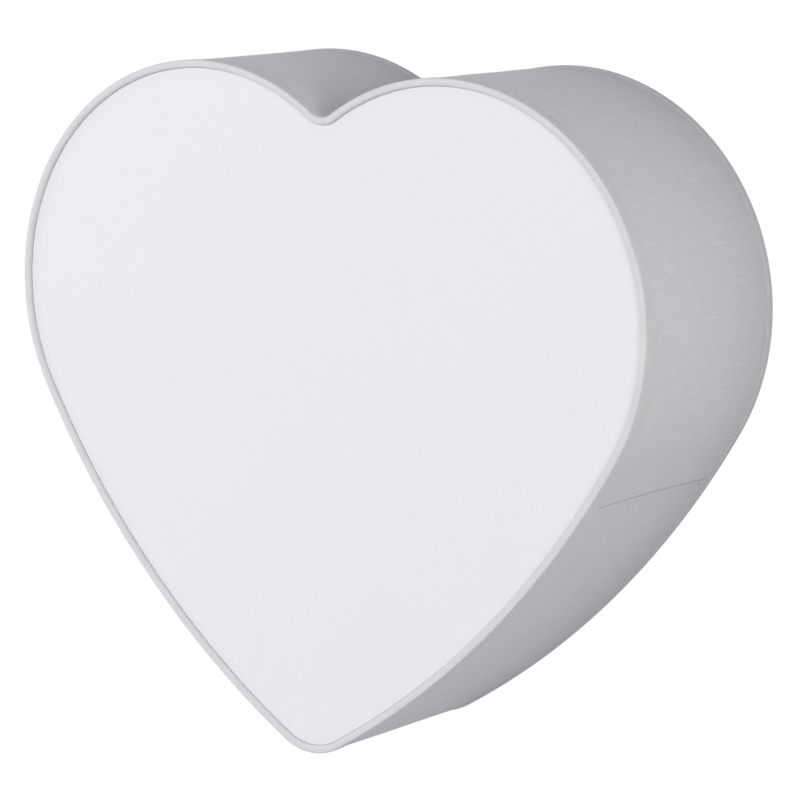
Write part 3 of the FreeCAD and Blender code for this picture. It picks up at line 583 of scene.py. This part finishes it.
def makePanel(finish):
    alongs = stations()
    front = panel["face"]
    back = front - panel["thickness"]
    edges = [onHeart(along, panel["inset"], 0) for along in alongs]
    bend, turned = panel["edgeRound"], [(0, back)]
    for k in range(panel["edgeSteps"] + 1):
        angle = math.pi / 2 * k / panel["edgeSteps"]
        turned.append((bend * (1 - math.cos(angle)), front - bend * (1 - math.sin(angle))))
    rings = []
    for inset, depth in turned:
        rings.append([onHeart(along, panel["inset"] + inset, depth) for along in alongs])
    for k in range(1, panel["rings"]):
        share = 1 - (k / panel["rings"]) ** panel["ringPower"]
        ring = []
        for edge in edges:
            place = panel["middle"] + (edge - panel["middle"]) * share
            fromEdge = (edge - place).length
            ripple = noise.noise(place / panel["waveSize"]) * smooth(fromEdge, 0, panel["waveFade"])
            place.y = -front - panel["wave"] * ripple
            ring.append(place)
        rings.append(ring)
    size = len(alongs)
    points = [point for ring in rings for point in ring]
    points.append(panel["middle"] - Vector((0, front, 0)))
    points.append(panel["middle"] - Vector((0, back, 0)))
    frontMiddle, backMiddle = len(points) - 2, len(points) - 1
    last = (len(rings) - 1) * size
    faces = []
    for j in range(size):
        after = (j + 1) % size
        for near in range(0, last, size):
            far = near + size
            faces.append((near + j, near + after, far + after, far + j))
        faces.append((last + j, last + after, frontMiddle))
        faces.append((after, j, backMiddle))
    corners = [(points[v].x, points[v].z) for face in faces for v in face]
    piece = meshPiece(
        "frontCloth", points, faces, corners, "shade", "panel_cloth", finish, "front_panel"
    )
    layer = piece.data.uv_layers.new(name="fromRim")
    for corner, place in zip(piece.data.loops, layer.data):
        ring, station = divmod(corner.vertex_index, size)
        rim = edges[station] if ring < len(rings) else edges[0]
        point = points[corner.vertex_index]
        place.uv = (math.hypot(point.x - rim.x, point.z - rim.z), 0)


tape = {
    "frontInnerTail": 3.0 * mm,
    "rearInnerTail": 0.7 * mm,
    "edgeRound": 1.05 * mm,
    "tailWave": 0.22 * mm,  # unevenness of the glued edge
    "tailWaveSize": 16 * mm,
    "crestWave": 0.10 * mm,
    "crestWaveSize": 9 * mm,
    "pleat": 0.10 * mm,  # gathers where the tape turns the notch and the tip
    "pleatPitch": 3.1 * mm,
    "pleatReach": 16 * mm,
    "lapBulge": 0.30 * mm,  # the tail lifts over the lap
    "sectionStep": 0.3 * mm,
    "tailStep": 1.1 * mm,
    "feather": 0.25 * mm,  # the glued edge is thinned
    "seamReach": (60 * mm, 180 * mm),  # from the seam, where its wider tail ends
}


def tapeSection(outerTail, innerTail):
    # (out, ahead, share of crest) up the wall, over the edge and round the ring, then back inside
    outer, inner, top = shade["crestOut"], -shade["crestIn"], shade["crestIn"]
    bend, skin, step = tape["edgeRound"], shade["tapeThickness"], tape["sectionStep"]

    def turn(middle, radius, start, end):
        count = math.ceil(radius * abs(end - start) / step)
        angles = [start + (end - start) * k / count for k in range(count + 1)]
        x, y = middle
        return [(x + radius * math.cos(angle), y + radius * math.sin(angle)) for angle in angles]

    rise = spaced(-outerTail, top - bend, tape["tailStep"])
    outside = [(outer, ahead) for ahead in rise[:-1]]
    outside[0] = (outer - tape["feather"], -outerTail)
    outside += turn((outer - bend, top - bend), bend, 0, math.pi / 2)
    outside += [(out, top) for out in spaced(outer - bend, 0, step)[1:-1]]
    outside += turn((0, 0), top, math.pi / 2, math.pi)
    outside += [(inner, ahead) for ahead in spaced(0, -innerTail, tape["tailStep"])[1:]]
    inside = [(inner + skin, ahead) for ahead in (-innerTail, 0)]
    inside += turn((0, 0), top - skin, math.pi, math.pi / 2)[1:]
    inside += [(outer - skin, ahead) for ahead in (top - skin, 0, -outerTail)]
    return [(out, ahead, smooth(ahead, 0, top)) for out, ahead in outside + inside]


def gather(along):
    # share of the pleats: full in the notch and at the tip
    fromTip = min(along, heartLength - along)
    fromNotch = abs(along - notchAlong)
    return 1 - smooth(min(fromTip, fromNotch), 0, tape["pleatReach"])


def makeTape(name, node, plane, way, tails, seamTail, finish):
    section = tapeSection(*tails)
    tailEnd = -tails[0]
    alongs = stations()
    rings = []
    for along in alongs:
        ring = []
        spine = onHeart(along, shade["ringInset"], plane)
        uneven = noise.noise(spine / tape["tailWaveSize"]) * tape["tailWave"]
        lumpy = noise.noise(spine / tape["crestWaveSize"]) * tape["crestWave"]
        pleats = math.sin(2 * math.pi * along / tape["pleatPitch"]) * tape["pleat"] * gather(along)
        bulge = tape["lapBulge"] * max(0, lapRise(seam - along)) / wall["lapThickness"]
        wider = seamTail * (1 - smooth(abs(along - seam), *tape["seamReach"]))
        for out, ahead, crest in section:
            if ahead < 0:
                ahead += (uneven - (wider if out > 0 else 0)) * ahead / tailEnd
            grow = (lumpy - tape["crestWave"] + pleats) * crest
            stand = bulge * min(1, max(0, ahead / tailEnd)) if out > 0 else 0
            inset = shade["ringInset"] - out - stand
            ring.append(onHeart(along, inset, plane + way * (ahead + grow)))
        rings.append(ring)
    acrosses = [0]
    for first, second in zip(section, section[1:] + section[:1]):
        acrosses.append(acrosses[-1] + math.hypot(second[0] - first[0], second[1] - first[1]))
    skin = closedSkin(rings, alongs + [heartLength], acrosses)
    piece = meshPiece(name, *skin, "shade", "binding_tape", finish, node)


# finishes

clothLook = {
    "constants": {"Specular IOR Level": 0.2, "Sheen Weight": 0.12, "Sheen Roughness": 0.5},
    "threadWidth": 0.7 * mm,
    "threadRun": 5 * mm,
    "warpShare": 0.35,
    "weftShare": 0.65,
    "slubWidth": 0.9 * mm,
    "slubRun": 16 * mm,
    "longSlubs": (0.62, 0.78),
    "tallSlubs": (0.64, 0.80),
    "cloudSize": 60 * mm,
    "cloudShare": 0.2,
    "toneRange": (0.25, 0.85),
    "roughness": (0.80, 0.15),  # least, and how much the weft adds
    "relief": (0.05 * mm, 0.7),
}


def clothFinish(name, light, shadow, slubs, overlay):
    look = clothLook
    f = Finish(name, look["constants"])
    at = f.cut()
    width, run = look["threadWidth"], look["threadRun"]
    warp = f.grain(at, (run, width), detail=1.0)
    weft = f.grain(at, (width, run), detail=1.0, seed=7.3)
    width, run = look["slubWidth"], look["slubRun"]
    long = f.ramp(f.grain(at, (run, width), detail=0.0, seed=3.1), *look["longSlubs"])
    tall = f.ramp(f.grain(at, (width, run), detail=0.0, seed=5.7), *look["tallSlubs"])
    cloud = f.grain(at, (look["cloudSize"], look["cloudSize"]), detail=2.0, seed=1.9)
    height = warp * look["warpShare"] + weft * look["weftShare"] + (long + tall) * slubs
    tone = height * (1 - look["cloudShare"]) + cloud * look["cloudShare"]
    colour = f.tint(f.ramp(tone, *look["toneRange"]), shadow, light)
    least, more = look["roughness"]
    f.feed("Base Color", overlay(f, colour))
    f.feed("Roughness", least + more * weft)
    f.relief(height, *look["relief"])
    return f.show()


# painted shade along the seam's crease, and a darker spot in the pucker
seamLook = {
    "seamShadeColour": (0.34, 0.34, 0.35),
    "creaseReach": 0.35 * mm,
    "creaseEdge": 0.05 * mm,
    "creaseShare": 0.45,
    "creaseEnds": 0.02,  # share of the seam over which its ends fade
    "puckerReach": 1.4 * mm,
    "puckerShare": 0.8,
}


def seamShadeTint(f, colour):
    # painted shade in the crease above the lap, and a darker spot drawn in the pucker below it
    look, spot, at = seamLook, wall["pucker"], f.cut()
    below, depth = seam - f.part(at, "X"), f.part(at, "Y")
    share = (depth - lapLow) / (lapHigh - lapLow)
    inside = f.ramp(share, 0, look["creaseEnds"]) * (1 - f.ramp(share, 1 - look["creaseEnds"], 1))
    onLine = f.ramp(below, -look["creaseReach"], 0) * (1 - f.ramp(below, 0, look["creaseEdge"]))
    onLine = onLine * inside * look["creaseShare"]
    across, along = below - spot["below"], depth - spot["depth"]
    far = across * across + along * along
    inSpot = (1 - f.ramp(far, 0, look["puckerReach"] ** 2)) * look["puckerShare"]
    darkened = f.node("ShaderNodeMath", {"operation": "MAXIMUM"}, {0: onLine, 1: inSpot})
    return f.tint(darkened, colour, look["seamShadeColour"])


# painted shade along the panel's rim: its colour, how far in it reaches, and how strong it is
rimShadeLook = {"shade": (0.80, 0.795, 0.83), "reach": 7 * mm, "share": 0.5}


def rimShadeTint(f, colour):
    # painted shade: the panel is drawn darker towards its rim, where the rim's shadow falls
    away = f.part(f.node("ShaderNodeUVMap", {"uv_map": "fromRim"}), "X")
    share = (1 - f.ramp(away, 0, rimShadeLook["reach"])) * rimShadeLook["share"]
    return f.tint(share, colour, rimShadeLook["shade"])


tapeLook = {
    "constants": {"Specular IOR Level": 0.2, "Sheen Weight": 0.1, "Sheen Roughness": 0.5},
    "crest": ((0.735, 0.735, 0.77), (0.69, 0.69, 0.715)),  # over the bare wire
    "tail": ((0.865, 0.86, 0.87), (0.81, 0.805, 0.80)),  # glued down on the white sheet
    "turn": (5.8 * mm, 7.0 * mm),  # from the tail's edge
    "ribs": (14 * mm, 0.6 * mm),
    "cross": (0.5 * mm, 4 * mm),
    "glue": (22 * mm, 3 * mm),
    "wornRange": (0.3, 0.7),
    "roughness": (0.78, 0.18),  # least, and how much the cross threads add
    "relief": (0.05 * mm, 0.8),
}


def tapeFinish(name):
    look = tapeLook
    f = Finish(name, look["constants"])
    at = f.cut()
    ribs = f.grain(at, look["ribs"], detail=1.0)
    cross = f.grain(at, look["cross"], detail=1.0, seed=2.7)
    glue = f.grain(at, look["glue"], detail=2.0, seed=8.1)
    height = (ribs + cross) * 0.5
    worn = f.ramp((height + glue) * 0.5, *look["wornRange"])
    crest, tail = (f.tint(worn, *look[part]) for part in ("crest", "tail"))
    least, more = look["roughness"]
    f.feed("Base Color", f.tint(f.ramp(f.part(at, "Y"), *look["turn"]), tail, crest))
    f.feed("Roughness", least + more * cross)
    f.relief(height, *look["relief"])
    return f.show()


metalLook = {
    "drawn": (12 * mm, 0.35 * mm, 0.35 * mm),
    "patches": (5 * mm, 5 * mm, 5 * mm),
    "specks": (0.7 * mm, 0.7 * mm, 0.7 * mm),
    "stainRange": (0.35, 0.7),
    "stainShare": 0.5,
    "speckRange": (0.62, 0.75),
    "speckShare": 0.25,
    "dullRange": (0.45, 0.7),
    "dullness": 0.14,
    "drawnRoughness": 0.16,
    "relief": (0.02 * mm, 0.5),
}


def metalFinish(name, light, dark, roughness):
    look = metalLook
    f = Finish(name, {"Metallic": 1.0})
    at = f.solid()
    drawn = f.grain(at, look["drawn"], detail=2.0)
    patches = f.grain(at, look["patches"], detail=3.0, seed=4.4)
    specks = f.ramp(f.grain(at, look["specks"], detail=1.0, seed=9.2), *look["speckRange"])
    stain = f.ramp(patches, *look["stainRange"]) * look["stainShare"] + specks * look["speckShare"]
    dull = f.ramp(patches, *look["dullRange"]) * look["dullness"]
    f.feed("Base Color", f.tint(stain, light, dark))
    f.feed("Roughness", roughness + look["drawnRoughness"] * (drawn - 0.5) + dull)
    f.relief(drawn, *look["relief"])
    return f.show()


mouldLook = {
    "coatRoughness": 0.12,
    "subsurfaceRadius": (2 * mm, 1.8 * mm, 1.6 * mm),
    "flow": (9 * mm, 9 * mm, 4 * mm),
    "flowRange": (0.3, 0.75),
    "flowShare": 0.7,
    "scuffs": (7 * mm, 0.5 * mm, 0.5 * mm),
    "scuffRange": (0.66, 0.76),
    "scuffShare": 0.3,
    "scuffRoughness": 0.15,
    "poreRoughness": 0.10,
    "relief": (0.03 * mm, 0.6),
}


def mouldedFinish(name, light, dark, roughness, poreSize=0.4 * mm, coat=0.0, subsurface=0.0):
    look = mouldLook
    f = Finish(name, {
        "Coat Weight": coat,
        "Coat Roughness": look["coatRoughness"],
        "Subsurface Weight": subsurface,
        "Subsurface Radius": look["subsurfaceRadius"],
    })
    at = f.solid()
    pores = f.grain(at, [poreSize] * 3, detail=2.0)
    flow = f.grain(at, look["flow"], detail=2.0, seed=3.3)
    scuffs = f.ramp(f.grain(at, look["scuffs"], detail=1.0, seed=6.6), *look["scuffRange"])
    stain = f.ramp(flow, *look["flowRange"]) * look["flowShare"] + scuffs * look["scuffShare"]
    f.feed("Base Color", f.tint(stain, light, dark))
    uneven = look["poreRoughness"] * (pores - 0.5) + look["scuffRoughness"] * scuffs
    f.feed("Roughness", roughness + uneven)
    f.relief(pores, *look["relief"])
    return f.show()


paintLook = {
    "constants": {"Coat Weight": 0.15, "Coat Roughness": 0.25},
    "dust": (30 * mm, 30 * mm, 30 * mm),
    "dustRange": (0.35, 0.75),
    "dustShare": 0.8,
    "dustRoughness": 0.12,
    "specks": (0.9 * mm, 0.9 * mm, 0.9 * mm),
    "speckRange": (0.74, 0.82),
    "speckShare": 0.2,
    "relief": (0.05 * mm, 0.5),
}


def paintFinish(name, light, dark, roughness, peel=1.6 * mm):
    look = paintLook
    f = Finish(name, look["constants"])
    at = f.solid()
    orange = f.grain(at, [peel] * 3, detail=1.0)
    dust = f.grain(at, look["dust"], detail=3.0, seed=2.2)
    specks = f.ramp(f.grain(at, look["specks"], detail=0.0, seed=7.7), *look["speckRange"])
    stain = f.ramp(dust, *look["dustRange"]) * look["dustShare"] + specks * look["speckShare"]
    f.feed("Base Color", f.tint(stain, light, dark))
    f.feed("Roughness", roughness + look["dustRoughness"] * (dust - 0.5))
    f.relief(orange, *look["relief"])
    return f.show()


insulationLook = {
    "drawn": (0.5 * mm, 0.5 * mm, 14 * mm),
    "patches": (6 * mm, 6 * mm, 6 * mm),
    "patchRange": (0.3, 0.75),
    "stripeEdge": 0.05,
    "roughness": (0.34, 0.14),  # least, and how much the drawn lines add
    "relief": (0.02 * mm, 0.5),
}


def insulationFinish(name, light, dark, stripe=None):
    look = insulationLook
    f = Finish(name, {})
    at = f.solid()
    drawn = f.grain(at, look["drawn"], detail=2.0)
    patches = f.grain(at, look["patches"], detail=2.0, seed=1.4)
    colour = f.tint(f.ramp(patches, *look["patchRange"]), light, dark)
    if stripe:
        side = f.part(f.node("ShaderNodeTexCoord", out="Normal"), "X")
        colour = f.tint(f.ramp(side, -look["stripeEdge"], look["stripeEdge"]), colour, stripe)
    least, more = look["roughness"]
    f.feed("Base Color", colour)
    f.feed("Roughness", least + more * drawn)
    f.relief(drawn, *look["relief"])
    return f.show()


white, cream = (0.86, 0.86, 0.85), (0.80, 0.79, 0.76)
finishes = {
    "shade_cloth": clothFinish(
        "shadeCloth", (0.88, 0.88, 0.928), (0.795, 0.795, 0.835), 0.3, seamShadeTint
    ),
    "panel_cloth": clothFinish(
        "panelCloth", (0.870, 0.862, 0.905), (0.85, 0.842, 0.885), 0.12, rimShadeTint
    ),
    "binding_tape": tapeFinish("bindingTape"),
    "frame_wire": paintFinish(
        "ringWireCoat", (0.84, 0.84, 0.83), (0.72, 0.71, 0.69), 0.42, peel=0.8 * mm
    ),
    "tray_paint": paintFinish("trayPaint", (0.85, 0.85, 0.85), (0.77, 0.77, 0.76), 0.48),
    "bracket_steel": metalFinish("bracketSteel", (0.68, 0.69, 0.70), (0.50, 0.51, 0.50), 0.36),
    "spring_steel": metalFinish("springSteel", (0.50, 0.51, 0.53), (0.33, 0.33, 0.34), 0.30),
    "rivet_steel": metalFinish("rivetSteel", (0.64, 0.64, 0.65), (0.45, 0.45, 0.45), 0.32),
    "screw_steel": metalFinish("screwSteel", (0.70, 0.69, 0.66), (0.48, 0.46, 0.41), 0.28),
    "brass": metalFinish("brass", (0.83, 0.63, 0.29), (0.58, 0.41, 0.17), 0.27),
    "tinned_copper": metalFinish("tinnedCopper", (0.76, 0.75, 0.73), (0.60, 0.55, 0.48), 0.34),
    "lamp_nickel": metalFinish("lampNickel", (0.74, 0.73, 0.70), (0.55, 0.53, 0.49), 0.22),
    "holder_plastic": mouldedFinish(
        "holderPlastic", (0.84, 0.84, 0.82), (0.76, 0.75, 0.72), 0.38
    ),
    "holder_ceramic": mouldedFinish(
        "holderCeramic", (0.87, 0.86, 0.83), cream, 0.18, poreSize=2.5 * mm, coat=0.6
    ),
    "terminal_plastic": mouldedFinish(
        "terminalPlastic", white, cream, 0.34, poreSize=0.5 * mm, subsurface=0.15
    ),
    "grommet_rubber": mouldedFinish(
        "grommetRubber", (0.035, 0.035, 0.036), (0.07, 0.07, 0.068), 0.68
    ),
    "lamp_diffuser": mouldedFinish(
        "lampDiffuser", (0.90, 0.90, 0.89), (0.86, 0.855, 0.83), 0.30,
        poreSize=0.7 * mm, coat=0.2, subsurface=0.2,
    ),
    "lamp_plastic": mouldedFinish("lampPlastic", (0.85, 0.85, 0.85), (0.78, 0.78, 0.77), 0.36),
    "lamp_glass": mouldedFinish(
        "lampGlass", (0.012, 0.012, 0.016), (0.03, 0.028, 0.035), 0.10, poreSize=3 * mm, coat=0.8
    ),
    "live_insulation": insulationFinish(
        "liveInsulation", (0.19, 0.085, 0.035), (0.13, 0.055, 0.022)
    ),
    "neutral_insulation": insulationFinish(
        "neutralInsulation", (0.03, 0.13, 0.48), (0.02, 0.085, 0.34)
    ),
    "earth_insulation": insulationFinish(
        "earthInsulation", (0.04, 0.30, 0.06), (0.028, 0.21, 0.045), stripe=(0.78, 0.66, 0.05)
    ),
}
print("finishes made:", len(finishes))


# dressing

for part in frame["record"]["subparts"]:
    node = frame["nodes"][part["node"]]
    for place in node.material_slots:
        place.material = finishes[part["material_slot"]].material

makeWall(finishes["shade_cloth"])
makePanel(finishes["panel_cloth"])
taped = finishes["binding_tape"]
frontTails = shade["frontTail"], tape["frontInnerTail"]
rearTails = shade["rearTail"], tape["rearInnerTail"]
makeTape(
    "frontTape", "front_binding", shade["frontPlane"], 1, frontTails, shade["seamTail"], taped
)
makeTape("rearTape", "rear_binding", shade["rearPlane"], -1, rearTails, 0, taped)
print("cloth pieces made")
